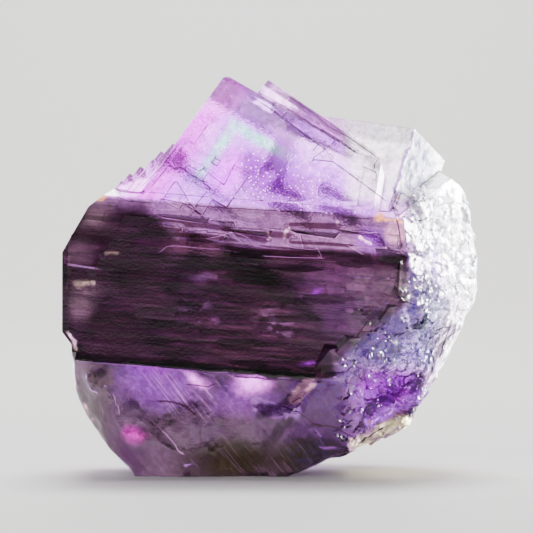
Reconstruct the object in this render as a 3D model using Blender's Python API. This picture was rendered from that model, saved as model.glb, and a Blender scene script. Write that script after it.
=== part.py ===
# Fluorite specimen: cube crystals grown into one another over a stepped, cleaved body.
# Metres, +Z up. The origin is under the middle of the specimen, on the surface it stands on.
# The front is the -Y side. Sizes are written in millimetres and turned to metres by MM.
# The blocks are drawn about the ledge's own middle line, and all of them are moved together at
# the end, by MIDDLE, to put the origin under the middle.

import math
import random

import bmesh
import bpy
from mathutils import Matrix, Vector
from mathutils.bvhtree import BVHTree

MM = 0.001

# ---- driving dimensions ----------------------------------------------------------------------

WIDTH = 60.0                  # whole specimen, left to right
HEIGHT = 57.8                 # from the surface it stands on to the tip of the big cube
HALF_WIDTH = WIDTH / 2

CUBE_LEAN = math.radians(26)  # the big cube face leans back from upright
CUBE_ROLL = math.radians(32.4)  # its upper right edge falls this much, measured in the face
CUBE_TIP = (-6.6, -2.0, HEIGHT)
CUBE_DEPTH = 17.0

PLATE_RISE = 0.28             # how far one growth plate stands above the next
LEDGE_TOP = 38.8              # crest of the ledge, in the middle
LEDGE_BOTTOM = 15.0           # sharp lower lip of the ledge, in the middle
LEDGE_FALL = math.radians(4.2)  # both fall gently to the right
LEDGE_FRONT = -10.9           # how far forward the ledge stands
LOWER_FRONT = -6.2            # front of the lower part, under the lip

MIDDLE = (-0.13, -4.91, 0.0)  # from the ledge's middle line to the middle of the specimen

RAW_BLOCK = 200.0             # a raw block, larger than anything cut from it
FOOT_GAP = 1.4                # height of the gaps between the three feet
HILLOCK_RISE = 0.10           # the terraces on the big cube face, above its upper plate
STEP_APART = 0.04             # least height between neighbouring growth steps
SCALE_SEED = 41               # where the broken scales lie
LEDGE_SEED = 7                # where the thin plates of the ledge break off

# edge directions of the second large crystal: level to the left, down, and away to the right
RIGHT_CUBE_EDGES = (Vector((-0.843, 0.523, 0.127)), Vector((-0.312, -0.282, -0.907)),
                    Vector((0.439, 0.804, -0.401)))


# ---- small tools -----------------------------------------------------------------------------

def mm(point):
    return Vector(point) * MM


def new_collection(name):
    collection = bpy.data.collections.new(name)
    bpy.context.scene.collection.children.link(collection)
    return collection


def add_object(name, bm, collection):
    """Turn a bmesh into an object with its faces pointing out, in the given collection."""
    bmesh.ops.remove_doubles(bm, verts=bm.verts, dist=0.00001)
    bmesh.ops.recalc_face_normals(bm, faces=bm.faces)
    mesh = bpy.data.meshes.new(name)
    bm.to_mesh(mesh)
    bm.free()
    obj = bpy.data.objects.new(name, mesh)
    obj.hide_render = True
    obj.display_type = 'WIRE'
    collection.objects.link(obj)
    return obj


def cleaved_block(name, planes, collection):
    """A convex block: a big cube with everything outside each plane split off.

    Each plane is (outward normal, a point on it in mm)."""
    bm = bmesh.new()
    bmesh.ops.create_cube(bm, size=RAW_BLOCK * MM)
    for normal, point in planes:
        cut = bmesh.ops.bisect_plane(bm, geom=bm.verts[:] + bm.edges[:] + bm.faces[:], dist=1e-7,
                                     plane_co=mm(point), plane_no=Vector(normal),
                                     clear_outer=True)
        rim = [item for item in cut['geom_cut'] if isinstance(item, bmesh.types.BMEdge)]
        bmesh.ops.contextual_create(bm, geom=rim)
    return add_object(name, bm, collection)


def inset(planes, depth):
    """The same planes, each moved inwards, so that two blocks never share a face."""
    return tuple((normal, Vector(point) - Vector(normal).normalized() * depth)
                 for normal, point in planes)


def cube_axes(roll, lean):
    """Edge directions of a cube crystal: along the face, up the face, and out of the face."""
    frame = Matrix.Rotation(-lean, 3, 'X') @ Matrix.Rotation(roll, 3, 'Y')
    return frame @ Vector((1, 0, 0)), frame @ Vector((0, 0, 1)), frame @ Vector((0, -1, 0))


def crystal(name, corner, directions, lengths, collection):
    """A box crystal that starts at one corner and runs along three directions."""
    bm = bmesh.new()
    bmesh.ops.create_cube(bm, size=1.0)
    bmesh.ops.translate(bm, verts=bm.verts, vec=(0.5, 0.5, 0.5))
    columns = [Vector(d).normalized() * length * MM for d, length in zip(directions, lengths)]
    frame = Matrix(columns).transposed().to_4x4()
    frame.translation = mm(corner)
    bmesh.ops.transform(bm, matrix=frame, verts=bm.verts)
    return add_object(name, bm, collection)


def upright_plate(name, outline, front, back, collection):
    """A plate whose outline is (x, z) points in mm, standing between two depths."""
    bm = bmesh.new()
    rim = [bm.verts.new(mm((x, back, z))) for x, z in outline]
    face = bm.faces.new(rim)
    grown = bmesh.ops.extrude_face_region(bm, geom=[face])
    moved = [item for item in grown['geom'] if isinstance(item, bmesh.types.BMVert)]
    bmesh.ops.translate(bm, verts=moved, vec=mm((0, front - back, 0)))
    return add_object(name, bm, collection)


# ---- the specimen's shapes ---------------------------------------------------------------------

def fallen(x, z):
    """Height of a line that falls to the right with the ledge, given its height at the middle."""
    return z - x * math.tan(LEDGE_FALL)


def big_cube(grown, cut):
    """The large cube corner with its growth plates and the thin plates behind its right edge."""
    along, up, out = cube_axes(CUBE_ROLL, CUBE_LEAN)
    down = -up
    tip = Vector(CUBE_TIP)
    ledge_face = ((0, -1, 0), (0, LEDGE_FRONT - 0.3, 0))
    cut_below = ((0, 0, -1), (0, 0, 30))
    right_end = ((0.97, -0.22, -0.10), (13.4, -8, 44))
    cleaved_block('cube', (
        (out, tip), (-along, tip), (up, tip), (-out, tip - out * CUBE_DEPTH),
        ((0.96, -0.26, -0.06), (15.6, -8, 44)), ledge_face, cut_below,
    ), grown)
    # the tip itself is broken off flat
    cleaved_block('tip_chip', (
        ((0, 0, -1), (0, 0, HEIGHT - 0.35)), ((-1, 0, 0), (-9, 0, 0)), ((1, 0, 0), (-2, 0, 0)),
        ((0, 1, 0), (0, 3, 0)), ((0, -1, 0), (0, -6, 0)), ((0, 0, 1), (0, 0, HEIGHT + 2)),
    ), cut)

    # the upper plate on the face is set back from both edges, with a stepped lower left limit
    stairs = ((0.6, 1.9, 12.2), (2.3, 2.0, 14.6), (4.6, 2.0, 16.2), (7.0, 2.0, 40.0))
    for index, (side, drop, reach) in enumerate(stairs):
        corner = tip + along * side + down * drop + out * (PLATE_RISE - STEP_APART * index)
        cleaved_block(f'plate_{index}', (
            (out, corner), (-along, corner), (up, corner + down * STEP_APART * index),
            (down, corner + down * reach), (-out, corner - out * 3),
        ) + inset((right_end, ledge_face, cut_below), STEP_APART * (index + 1)), grown)
    notch = tip + along * 17.2 + down * 1.0 + out * 2.0
    crystal('notch', notch, (along, down, -out), (1.9, 2.6, 1.95), cut)

    # low terraces, the steps of the growth hillocks, and a square etch pit above them
    hillocks = ((1.0, 16.5, 2.2, 6.0), (2.5, 15.6, 3.6, 6.0), (5.5, 14.5, 3.8, 6.0),
                (9.0, 11.7, 2.6, 6.0), (1.4, 8.2, 0.9, 3.6))
    for index, (side, drop, length, reach) in enumerate(hillocks):
        rise = PLATE_RISE + HILLOCK_RISE + STEP_APART * index
        corner = tip + along * side + down * drop + out * rise
        crystal(f'hillock_{index}', corner, (along, down, -out), (length, reach, 3.0), grown)
    pit = tip + along * 5.9 + down * 11.8 + out * 1.0
    crystal('pit', pit, (along, down, -out), (1.0, 1.1, 1.5), cut)

    # the second plate, behind the right edge and turned a little from the cube
    back_along, back_up, back_out = cube_axes(CUBE_ROLL + math.radians(5.0), CUBE_LEAN)
    back_tip = Vector((-0.4, 0.1, 57.1))
    crystal('back_plate', back_tip, (back_along, -back_up, -back_out), (19.4, 12.0, 4.0), grown)
    crystal('back_step', back_tip + back_along * 4.0 + back_out * 0.5 - back_up * 0.9,
            (back_along, -back_up, -back_out), (15.2, 9.0, 3.0), grown)


def left_flank(grown):
    """The lower shoulder on the left of the cube: parallel plates, each set further back."""
    along, up, out = cube_axes(CUBE_ROLL + math.radians(4), CUBE_LEAN)
    shoulders = ((-14.2, -1.2, 47.9), (-15.9, -0.9, 46.8), (-17.1, -1.3, 45.6), (-18.9, -1.0, 44.6),
                 (-20.4, -1.5, 43.6), (-21.6, -1.3, 42.5), (-22.5, -1.6, 41.2))
    for index, corner in enumerate(shoulders):
        cleaved_block(f'shoulder_{index}', (
            (out, corner), (-along, corner), (up, corner), (-out, Vector(corner) - out * 9),
        ) + inset((((1, 0, 0), (-8, 0, 0)), ((0, -1, 0), (0, LEDGE_FRONT + 1.2, 0)),
                   ((0, 0, -1), (0, 0, 34))), STEP_APART * index), grown)


def back_right_cube(grown):
    """The second large crystal: a corner that points at the viewer, behind the big cube."""
    level, down, away = RIGHT_CUBE_EDGES
    crystal('right_cube', (20.6, -3.6, 50.0), (level, down, away), (24.0, 15.0, 11.2), grown)


def back_crystals(grown):
    """Cube corners of several sizes, all turned like the big cube, that make up the back."""
    along, up, out = cube_axes(CUBE_ROLL, CUBE_LEAN)
    cubes = (((-12.0, 6.0, 34.0), 15.0), ((-20.0, 3.5, 22.0), 12.0), ((-4.0, 10.0, 22.0), 17.0),
             ((10.0, 8.5, 30.0), 15.0), ((-13.0, 6.0, 12.5), 11.0), ((8.0, 8.0, 14.0), 13.0),
             ((19.0, 4.0, 25.0), 12.0), ((-21.0, 5.5, 13.5), 8.0), ((-2.5, 8.5, 10.0), 9.0),
             ((17.5, 7.5, 17.0), 8.5), ((2.0, 14.5, 33.0), 8.0), ((-10.5, 14.0, 27.5), 7.0))
    for index, (middle, size) in enumerate(cubes):
        corner = Vector(middle) - (along + up - out) * (size / 2)
        crystal(f'back_cube_{index}', corner, (along, up, -out), (size, size, size), grown)
        # a growth plate stands on two opposite faces, set back from their edges
        lengths = [size * 0.66] * 3
        lengths[index % 3] = size + 2 * PLATE_RISE
        shift = along * ((index % 2) - 0.5) + up * (0.5 - (index // 2) % 2)
        start = Vector(middle) + shift * (size * 0.12)
        start -= (along * lengths[0] + up * lengths[1] - out * lengths[2]) / 2
        crystal(f'back_plate_{index}', start, (along, up, -out), lengths, grown)


def ledge_body(grown):
    """The thick middle of the specimen. Its front is the stepped ledge, its underside the lip."""
    fall = math.tan(LEDGE_FALL)
    cleaved_block('ledge_body', (
        ((-0.012, -1.0, 0.0), (-5, LEDGE_FRONT, 27)),
        ((fall, -0.1, 1), (0, LEDGE_FRONT, LEDGE_TOP)),
        ((-fall, 0.10, -1), (0, LEDGE_FRONT, LEDGE_BOTTOM)),
        ((-1, 0, 0), (-HALF_WIDTH + 0.4, 0, 27)),
        ((-0.60, -0.80, 0.04), (-28.6, LEDGE_FRONT, 28)),
        ((-0.86, 0, 0.50), (-29.5, 0, 32.6)),
        ((-0.60, 0, 0.80), (-27.2, 0, 37.9)),
        ((-0.80, 0, -0.60), (-29.6, 0, 21.2)),
        ((0.52, -0.52, -0.68), (13.0, LEDGE_FRONT, 19.5)),
        ((0.80, -0.58, 0.10), (19.6, LEDGE_FRONT, 32)),
        ((1, 0.1, 0.1), (20.6, 0, 30)),
        ((0.45, 0.88, 0.1), (17, 10.5, 28)),
        ((-0.06, 0.99, 0.12), (0, 14.0, 28)),
        ((-0.62, 0.78, 0.05), (-25, 7.5, 28)),
    ), grown)


def lower_body(grown):
    """The recessed lower part: a core with three feet, and the violet block on its right."""
    left_side = (
        ((-1, 0, -0.06), (-28.5, 0, 14.4)),
        ((-0.90, 0, -0.42), (-27.7, 0, 10.2)),
        ((-0.76, 0, -0.65), (-24.4, 0, 5.4)),
        ((-0.74, -0.62, -0.26), (-25.0, LOWER_FRONT + 1.2, 12)),
    )
    right_side = (
        ((0.42, 0, -0.907), (12.0, 0, 4.0)),
        ((0.86, 0, -0.51), (20.4, 0, 9.6)),
    )
    back = (
        ((-0.60, 0.78, -0.20), (-23, 7.5, 10)),
        ((0.02, 0.95, -0.32), (-6, 11.5, 8)),
        ((0.45, 0.80, -0.40), (14, 9.0, 10)),
    )
    roof = ((0, 0, 1), (0, 0, 22))
    cleaved_block('core', left_side + right_side + back + (
        roof, ((0, 0, -1), (0, 0, FOOT_GAP)),
        ((0.0, -0.985, 0.17), (-8, LOWER_FRONT + 0.5, 12)),
        ((0.0, -0.90, -0.44), (-8, LOWER_FRONT + 1.4, 3.4)),
    ), grown)

    under = ((0, 0, -1), (0, 0, -2))
    cleaved_block('foot_left', inset(left_side + back, 0.12) + (
        under, ((-0.62, 0, -0.78), (-22.2, 0, 1.3)),
        ((-0.10, -0.98, 0.10), (-18, LOWER_FRONT - 0.7, 6)),
        ((-0.12, -0.80, -0.58), (-18, LOWER_FRONT - 0.5, 3.6)),
        ((0.62, -0.42, 0.66), (-16.9, LOWER_FRONT - 0.7, 7.1)),
        ((0.86, -0.30, -0.42), (-12.7, LOWER_FRONT, 1.6)),
    ), grown)
    cleaved_block('foot_middle', inset(back, 0.24) + (
        under, ((0.03, -0.985, 0.16), (-7, LOWER_FRONT - 0.3, 6)),
        ((0.05, -0.78, -0.62), (-7, LOWER_FRONT - 0.5, 3.2)),
        ((-0.80, -0.30, -0.52), (-11.7, LOWER_FRONT, 1.6)),
        ((0.80, -0.40, -0.44), (-0.5, LOWER_FRONT, 1.6)),
        ((0.55, -0.60, 0.58), (-2.6, LOWER_FRONT - 0.4, 7.5)),
        ((-0.40, -0.40, 0.82), (-12.5, LOWER_FRONT, 8.5)),
    ), grown)
    cleaved_block('foot_right', inset(back + right_side, 0.36) + (
        under, ((0.16, -0.96, -0.22), (3, LOWER_FRONT - 0.5, 5)),
        ((0.20, -0.70, -0.68), (3.4, LOWER_FRONT - 0.2, 2.6)),
        ((-0.74, -0.58, -0.33), (0.5, LOWER_FRONT, 1.8)),
        ((0.52, 0, -0.85), (5.0, 0, 0.2)),
        ((0.1, -0.3, 0.95), (4, LOWER_FRONT, 9.6)),
    ), grown)

    cleaved_block('violet_block', inset(right_side + back[1:], 0.18) + (
        ((0.26, -0.96, -0.06), (8, LOWER_FRONT - 1.5, 11)),
        ((0.36, -0.50, -0.79), (13.0, LOWER_FRONT + 2.2, 5.8)),
        ((0.16, -0.60, -0.78), (6.5, LOWER_FRONT - 1.5, 7.6)),
        ((-0.62, -0.56, 0.55), (4.6, LOWER_FRONT - 1.5, 12.6)),
        ((0.70, -0.60, -0.38), (20.4, -2.5, 12.8)),
        ((0, 0, 1), (0, 0, 23)),
        ((-0.90, -0.30, -0.30), (1.9, LOWER_FRONT - 0.6, 9.2)),
    ), grown)


def heart(grown):
    """A rounded lump deep inside that closes the gaps between the blocks."""
    bm = bmesh.new()
    bmesh.ops.create_icosphere(bm, subdivisions=2, radius=1.0)
    bmesh.ops.scale(bm, verts=bm.verts, vec=mm((22.0, 10.0, 19.0)))
    bmesh.ops.translate(bm, verts=bm.verts, vec=mm((1.0, 3.0, 23.5)))
    add_object('heart', bm, grown)


def right_body(grown):
    """The broken right side, which curves away from the viewer."""
    cleaved_block('right_body', (
        ((0.34, -0.94, 0.06), (16, -8.6, 34)),
        ((0.64, -0.74, 0.18), (22, -5.6, 36)),
        ((0.60, -0.70, -0.38), (21, -4.6, 20)),
        ((0.42, -0.62, -0.66), (18, -3.6, 13.4)),
        ((0.97, 0, 0.20), (28.8, 0, 36)),
        ((1.0, 0, -0.09), (29.6, 0, 28)),
        ((0.90, 0, -0.44), (28.2, 0, 22.4)),
        ((0.84, 0, -0.54), (23.8, 0, 13.6)),
        ((0.60, 0, 0.80), (27.4, 0, 41.8)),
        ((-0.25, -0.3, 0.95), (17, -6, 38.6)),
        ((-1, 0, 0), (13, 0, 30)),
        ((0.62, 0.78, 0.12), (23, 8.5, 30)),
        ((0.30, 0.86, -0.40), (16, 9.5, 16)),
        ((0, 0.3, -1), (14, 0, 8.5)),
    ), grown)


def surface_trees(grown):
    """One search tree for each block placed so far."""
    trees = []
    for obj in grown.objects:
        corners = [vertex.co for vertex in obj.data.vertices]
        trees.append(BVHTree.FromPolygons(corners, [face.vertices for face in obj.data.polygons]))
    return trees


def first_surface(trees, start, direction):
    """Where a line from start first meets the specimen, and the way the surface faces there."""
    hits = [tree.ray_cast(mm(start), Vector(direction)) for tree in trees]
    hits = [hit for hit in hits if hit[0] is not None]
    if not hits:
        return None, None
    place, normal, _, _ = min(hits, key=lambda hit: hit[3])
    return place / MM, normal


def on_ledge_face(x, z):
    """Whether a place on the front lies on the stepped ledge, which carries no broken scales."""
    return z > 15.4 + max(0.0, x - 7) * 0.8 and x < 20


def broken_scales(grown):
    """Shallow broken scales: thick on the right side, a few low ones on the lower part."""
    spread = random.Random(SCALE_SEED)
    trees = surface_trees(grown)
    toward = (0, 1, 0)
    # left and right limits, bottom and top limits, how many are tried, radius, rise
    fields = (
        ((9.0, 28.4), (7.0, 39.0), 170, (2.0, 4.2), (0.30, 0.80)),
        ((-27.5, -23.5), (4.0, 14.0), 9, (1.8, 3.0), (0.20, 0.40)),
        ((-19.0, -3.0), (3.0, 11.0), 7, (3.4, 5.2), (0.22, 0.42)),
    )
    count = 0
    for x_limits, z_limits, tries, radii, rises in fields:
        for _ in range(tries):
            x = spread.uniform(*x_limits)
            z = spread.uniform(*z_limits)
            radius = spread.uniform(*radii)
            rise = spread.uniform(*rises)
            around = ((x - radius, z), (x + radius, z), (x, z - radius), (x, z + radius))
            past_rim = any(first_surface(trees, (px, -60, pz), toward)[0] is None
                           for px, pz in around)
            if past_rim or on_ledge_face(x, z):
                continue
            place, normal = first_surface(trees, (x, -60, z), toward)
            broken_scale(f'scale_{count}', place, normal, radius, rise, spread, grown)
            count += 1


def broken_scale(name, middle, normal, radius, rise, spread, collection):
    """A shallow, many-sided cap: a sunken rim and a few higher points inside it."""
    normal = Vector(normal).normalized()
    side = normal.orthogonal().normalized()
    other = normal.cross(side)
    bm = bmesh.new()
    rim = 7
    for step in range(rim):
        angle = 2 * math.pi * (step + spread.uniform(-0.3, 0.3)) / rim
        reach = radius * spread.uniform(0.75, 1.2)
        out = side * math.cos(angle) + other * math.sin(angle)
        bm.verts.new(mm(Vector(middle) + out * reach - normal * radius * 0.22))
        bm.verts.new(mm(Vector(middle) + out * reach * 0.6 - normal * radius * 0.9))
    for _ in range(3):
        angle = spread.uniform(0, 2 * math.pi)
        out = side * math.cos(angle) + other * math.sin(angle)
        bm.verts.new(mm(Vector(middle) + out * radius * spread.uniform(0.1, 0.55) + normal * rise
                        * spread.uniform(0.6, 1.0)))
    hull = bmesh.ops.convex_hull(bm, input=bm.verts)
    spare = [item for item in hull['geom_interior'] if isinstance(item, bmesh.types.BMVert)]
    bmesh.ops.delete(bm, geom=spare, context='VERTS')
    add_object(name, bm, collection)


def ledges(grown, cut):
    """The stepped face of the ledge: thin plates that overlap like shingles, broken at the ends."""
    spread = random.Random(LEDGE_SEED)
    # top and bottom at the middle line, how far each stands out, left and right ends
    rows = (
        (39.6, 36.4, 0.95, -22.0, 18.2), (36.6, 35.0, 0.45, -24.0, 9.0),
        (35.8, 33.6, 0.90, -13.0, 4.8), (36.2, 34.6, 0.75, 1.0, 16.5),
        (35.0, 32.4, 0.50, -20.0, 6.0), (34.2, 31.6, 0.70, -6.0, 15.5),
        (33.0, 30.4, 0.30, -28.9, 0.0), (32.2, 30.0, 0.42, -2.0, 19.0),
        (31.5, 28.4, 0.36, -28.7, -23.8), (30.0, 27.2, 0.16, -24.9, 8.0),
        (29.2, 25.6, 0.18, 3.0, 18.4), (28.0, 25.0, 0.26, -28.9, -25.2),
        (26.0, 24.0, 0.14, -22.0, 16.8), (24.4, 21.6, 0.20, -28.7, -19.0),
        (23.8, 20.4, 0.15, -14.0, 14.8), (21.8, 19.0, 0.17, -28.9, 2.0),
        (20.2, 17.4, 0.19, -6.0, 12.0), (19.4, 16.4, 0.22, -28.4, 5.0),
        (17.6, 14.9, 0.42, -28.0, -15.0), (17.4, 14.6, 0.50, -16.0, 7.6),
    )
    for index, (top, bottom, stand, left, right) in enumerate(rows):
        upper = [(left + 0.7, fallen(left, top)), (right - 0.9, fallen(right, top))]
        lower = broken_edge(left, right, bottom, stand * 0.6, spread)
        shingle(f'ledge_{index}', upper + lower[::-1], top, stand, grown)

    # dark slots where plates have broken away under the crest
    slots = ((-16.0, -8.6, 36.6, 0.7), (-7.6, 0.2, 35.4, 0.8),
             (2.6, 9.6, 35.8, 0.7), (-9.4, -3.0, 33.4, 0.5))
    for index, (left, right, top, tall) in enumerate(slots):
        outline = ((left, fallen(left, top)), (right, fallen(right, top)),
                   (right - 0.6, fallen(right, top - tall)), (left + 0.9, fallen(left, top - tall * 0.6)))
        upright_plate(f'slot_{index}', outline, LEDGE_FRONT - 3, LEDGE_FRONT + 1.2, cut)


def broken_edge(left, right, bottom, jog, spread):
    """The lower edge of a thin plate: level runs with a jog up or down between them."""
    edge = []
    jogs = max(3, round((right - left) / 6))
    level = bottom
    for step in range(jogs + 1):
        x = left + (right - left) * step / jogs
        if 0 < step < jogs:
            x += spread.uniform(-1.4, 1.4)
        if step:
            edge.append((x - 0.15, fallen(x, level)))
        if step < jogs:
            level = bottom + spread.uniform(-jog, jog)
            edge.append((x + 0.15, fallen(x, level)))
    return edge


def shingle(name, outline, top, stand, collection):
    """A thin plate on the ledge's face whose front leans out towards its lower edge."""
    obj = upright_plate(name, outline, LEDGE_FRONT, LEDGE_FRONT + 3, collection)
    for vertex in obj.data.vertices:
        if vertex.co.y < (LEDGE_FRONT + 1) * MM:
            depth = top * MM - vertex.co.z
            vertex.co.y -= (stand * MM) * (0.35 + 0.65 * min(depth / (2.4 * MM), 1.4))
    return obj


def ground_cut(cut):
    """Everything below the ground is split off, which leaves the feet flat."""
    crystal('ground', (-40, -30, -8), ((1, 0, 0), (0, 1, 0), (0, 0, 1)), (80, 60, 8), cut)


def fluorite_material():
    material = bpy.data.materials.new('fluorite')
    material.use_nodes = True
    shader = material.node_tree.nodes['Principled BSDF']
    shader.inputs['Base Color'].default_value = (0.33, 0.16, 0.48, 1)
    shader.inputs['Roughness'].default_value = 0.25
    shader.inputs['Metallic'].default_value = 0.0
    return material


def join_blocks(grown, cut):
    """One object: a small seed cube at the heart, with every block joined on and every cut made."""
    bm = bmesh.new()
    bmesh.ops.create_cube(bm, size=8 * MM)
    bmesh.ops.translate(bm, verts=bm.verts, vec=mm((0, 0, 26)))
    specimen = add_object('fluorite', bm, bpy.context.scene.collection)
    specimen.hide_render = False
    specimen.display_type = 'TEXTURED'
    union = specimen.modifiers.new('grown together', 'BOOLEAN')
    union.operation = 'UNION'
    union.operand_type = 'COLLECTION'
    union.collection = grown
    union.solver = 'EXACT'
    cleave = specimen.modifiers.new('cut away', 'BOOLEAN')
    cleave.operation = 'DIFFERENCE'
    cleave.operand_type = 'COLLECTION'
    cleave.collection = cut
    cleave.solver = 'EXACT'
    return specimen


def build():
    for obj in list(bpy.data.objects):
        bpy.data.objects.remove(obj, do_unlink=True)
    grown = new_collection('grown')
    cut = new_collection('cut')
    heart(grown)
    ledge_body(grown)
    lower_body(grown)
    right_body(grown)
    big_cube(grown, cut)
    left_flank(grown)
    back_right_cube(grown)
    back_crystals(grown)
    broken_scales(grown)
    ledges(grown, cut)
    ground_cut(cut)
    specimen = join_blocks(grown, cut)
    specimen.data.materials.append(fluorite_material())
    for obj in bpy.data.objects:
        obj.location = mm(MIDDLE)


build()
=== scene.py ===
import math

import bmesh
import bpy
import numpy as np
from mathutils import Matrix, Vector


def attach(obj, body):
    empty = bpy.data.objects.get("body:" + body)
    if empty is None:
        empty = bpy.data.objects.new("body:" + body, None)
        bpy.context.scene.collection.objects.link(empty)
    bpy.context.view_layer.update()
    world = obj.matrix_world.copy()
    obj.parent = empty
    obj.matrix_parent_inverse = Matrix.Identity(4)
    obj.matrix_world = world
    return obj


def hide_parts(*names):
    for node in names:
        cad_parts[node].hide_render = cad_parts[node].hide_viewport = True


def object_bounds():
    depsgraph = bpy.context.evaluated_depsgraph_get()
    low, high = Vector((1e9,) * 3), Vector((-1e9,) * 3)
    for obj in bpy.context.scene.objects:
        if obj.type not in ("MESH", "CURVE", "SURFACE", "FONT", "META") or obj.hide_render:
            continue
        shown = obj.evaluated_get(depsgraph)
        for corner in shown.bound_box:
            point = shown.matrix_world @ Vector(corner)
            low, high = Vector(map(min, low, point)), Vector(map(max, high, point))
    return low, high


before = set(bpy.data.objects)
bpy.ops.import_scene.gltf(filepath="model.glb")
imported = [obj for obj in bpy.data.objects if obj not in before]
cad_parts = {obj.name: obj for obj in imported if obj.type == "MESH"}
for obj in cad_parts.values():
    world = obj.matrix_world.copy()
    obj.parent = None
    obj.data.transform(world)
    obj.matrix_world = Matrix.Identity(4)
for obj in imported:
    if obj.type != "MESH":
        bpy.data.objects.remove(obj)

# A fluorite specimen: a big purple cube corner over a dark cleaved ledge, with a second cube behind it,
# broken below and on the right. It is one grown-together piece, seen with light coming through it.
cadBox = [list(corner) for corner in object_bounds()]
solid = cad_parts["fluorite"]
mm = 0.001

# main places in mm, and turns in degrees: x runs right, y runs back and z runs up, all from middle
form = dict(
    middle=(-0.13, -4.91, 0.0),         # foot of the ledge's own middle line
    ledgeFall=4.2,                      # how far the ledge falls to the right
    crest=38.8, lip=15.0,               # heights of the ledge's upper and lower edge at the middle
    ledgeRight=19.3, slantTop=26.0,     # upper part of the ledge's right end, and where it turns
    slantPoint=(20.9, 26.7), slantAcross=(0.627, -0.779),     # the slanting part, and across it
    cubeTip=(-6.6, -2.0, 57.8),         # top corner of the big cube's front face
    cubeLean=26.0, cubeRoll=32.4,       # the face leans back, and is turned in its own plane
)
middle = np.array(form["middle"])
ledgeTurn = math.radians(form["ledgeFall"])

# the camera looks along +Y; frameWidth is what it takes in at the specimen, in mm
studio = dict(
    lens=200.0, sensor=36.0, frameWidth=77.285, elevation=2.0, target=(-0.78, -4.91, 30.09),
    nearest=0.001, paper="#D4D2D0", air=0.17,
)
cameraRise = math.radians(studio["elevation"])
towardsCamera = np.array((0, -math.cos(cameraRise), math.sin(cameraRise)))
cameraDistance = studio["frameWidth"] * studio["lens"] / studio["sensor"]      # mm


def linear(hexColour):
    # sRGB hex to linear light: each part over 12.92 where it is small, and otherwise the part plus
    # 0.055, over 1.055, to the power 2.4
    parts = [int(hexColour[i:i + 2], 16) / 255 for i in (1, 3, 5)]
    return [p / 12.92 if p <= 0.04045 else ((p + 0.055) / 1.055) ** 2.4 for p in parts]


def smooth(value, start, end):
    # 0 before start, 1 after end, and 3t2 - 2t3 between
    t = np.clip((value - start) / (end - start), 0, 1)
    return t * t * (3 - 2 * t)


def hashed(cells, seed):
    # a number from 0 to 1 for each whole-number cell: its three indices times large primes, mixed by
    # shifts and exclusive or, then the remainder over 65521
    wide = cells.astype(np.int64)
    key = wide[:, 0] * 73856093 ^ wide[:, 1] * 19349663 ^ wide[:, 2] * 83492791 ^ seed * 2654435761
    key = (key ^ (key >> 13)) * 1274126177 & 0x7FFFFFFF
    key = (key ^ (key >> 15)) * 668265263 & 0x7FFFFFFF
    return (key ^ (key >> 12)) % 65521 / 65521


def valueNoise(points, seed):
    # eight cell corners blended with the smooth step 3t2 - 2t3, from -1 to 1
    base = np.floor(points)
    part = points - base
    ease = part * part * (3 - 2 * part)
    total = np.zeros(len(points))
    for corner in np.ndindex(2, 2, 2):
        weight = np.prod(np.where(corner, ease, 1 - ease), axis=1)
        total += weight * hashed(base + corner, seed)
    return total * 2 - 1


def cloud(points, octaves, seed):
    # value noise summed at doubling scales and halving heights, over the sum of the heights
    total, height = np.zeros(len(points)), 1.0
    for step in range(octaves):
        total += height * valueNoise(points * 2 ** step + 17.3 * step, seed + step)
        height /= 2
    return total / (2 - 2 * height)


def facets(points, seed):
    # the nearest of one random point per cell, and the height over it of that point's tilted plane
    base = np.floor(points)
    nearest = np.full(len(points), 9.0)      # squared cells, further than any
    height = np.zeros(len(points))
    for corner in np.ndindex(3, 3, 3):
        cell = base + corner - 1
        jitter = np.stack([hashed(cell, seed + k) for k in range(3)], axis=1)
        away = points - cell - jitter
        far = (away ** 2).sum(1)
        tilt = np.stack([hashed(cell, seed + 3 + k) for k in range(3)], axis=1) * 2 - 1
        plane = (away * tilt).sum(1) + hashed(cell, seed + 6) * 0.5
        closer = far < nearest
        height = np.where(closer, plane, height)
        nearest = np.where(closer, far, nearest)
    return height


# Skin of the specimen: the solid's own surface, cut fine enough to carry relief and colour
skin = dict(
    frontEdge=0.45, backEdge=1.0,                      # longest triangle edge, mm
    loosest=8.0, rounds=5,                             # rounds of cutting, and the first one's slack
    joinWithin=2e-6,                                   # points this close are one, m
    flatWithin=math.radians(0.4),                      # faces bent less than this are one flat face
    turnWithin=0.002,                                  # and less than this, they may be cut anew
    sharpAngle=math.radians(24),                       # edges bent more than this stay sharp
    meanRounds=25,                                     # for the mean surface that hollows lie below
    wornShare=0.5, wornRounds=40,                      # how far the broken parts' edges are worn off
    scoop=0.55, flake=0.22,                            # height of the shell-shaped breaks, mm
    swell=0.45, pitting=0.04,                          # height of the lower part's relief, mm
    ripple=0.05, growthLines=0.014, grain=0.010,       # height of the finer relief, mm
)


def arraysOf(mesh):
    # a triangle mesh as two arrays: x, y and z of its points, and the three points of each triangle
    points = np.empty(len(mesh.vertices) * 3)
    mesh.vertices.foreach_get("co", points)
    triangles = np.empty(len(mesh.polygons) * 3, dtype=np.int64)
    mesh.polygons.foreach_get("vertices", triangles)
    return points.reshape(-1, 3), triangles.reshape(-1, 3)


def edgeEnds(triangles):
    # the two ends of every triangle's first edge, then of every second and every third edge
    return np.concatenate([triangles[:, [0, 1]], triangles[:, [1, 2]], triangles[:, [2, 0]]])


def faceNormals(points, triangles):
    # cross product of two edges: it stands on the face and is twice the face's area long
    a, b, c = points[triangles].transpose(1, 0, 2)
    return np.cross(b - a, c - a)


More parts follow.
